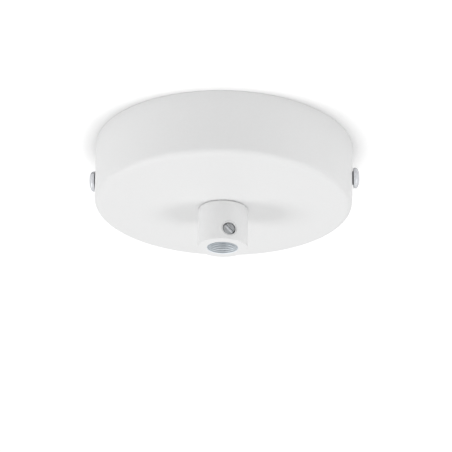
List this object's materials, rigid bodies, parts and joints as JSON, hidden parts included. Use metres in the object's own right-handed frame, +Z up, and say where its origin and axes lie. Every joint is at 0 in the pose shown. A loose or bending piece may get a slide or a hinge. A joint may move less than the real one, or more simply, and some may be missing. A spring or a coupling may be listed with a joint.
{
  "type": "ceiling rose",
  "caption": "Round white metal ceiling rose for a pendant lamp: a cup on a bent bracket with a terminal block inside and a cord grip with a clamp screw below.",
  "frame": {"origin": "centre of the ceiling plane, which the cup's rim and the back of the bracket touch", "axes": "+Z up into the ceiling, +X along the bracket towards the right-hand side screw, -Y to the front, where the clamp screw is"},
  "size_m": [0.1048, 0.1, 0.041],
  "materials": {
    "white_coat": "matt white powder coat with a fine texture",
    "zinc_plate": "clear zinc plate on steel",
    "nickel_plate": "bright nickel plate on steel",
    "brass": "bare turned brass",
    "nylon": "natural moulded nylon"
  },
  "bodies": {
    "rose": {"cup": "white_coat", "ceiling_bracket": "zinc_plate", "side_screw_left": "nickel_plate", "side_screw_right": "nickel_plate", "threaded_tube": "zinc_plate", "toothed_washer": "zinc_plate", "lock_nut": "zinc_plate", "cord_grip": "white_coat", "terminal_housing": "nylon", "terminal_sleeve_1": "brass", "terminal_screw_1a": "zinc_plate", "terminal_screw_1b": "zinc_plate", "terminal_sleeve_2": "brass", "terminal_screw_2a": "zinc_plate", "terminal_screw_2b": "zinc_plate", "terminal_sleeve_3": "brass", "terminal_screw_3a": "zinc_plate", "terminal_screw_3b": "zinc_plate", "block_screw_front": "zinc_plate", "block_screw_back": "zinc_plate", "earth_saddle": "zinc_plate", "earth_washer": "zinc_plate", "earth_screw": "zinc_plate"},
    "clamp": {"clamp_screw": "nickel_plate"}
  },
  "joints": [
    {"name": "clamp_screw_travel", "type": "slide", "parent": "rose", "child": "clamp", "axis": [-0.342, 0.9397, 0], "range_m": [-0.0033, 0.0019]}
  ]
}
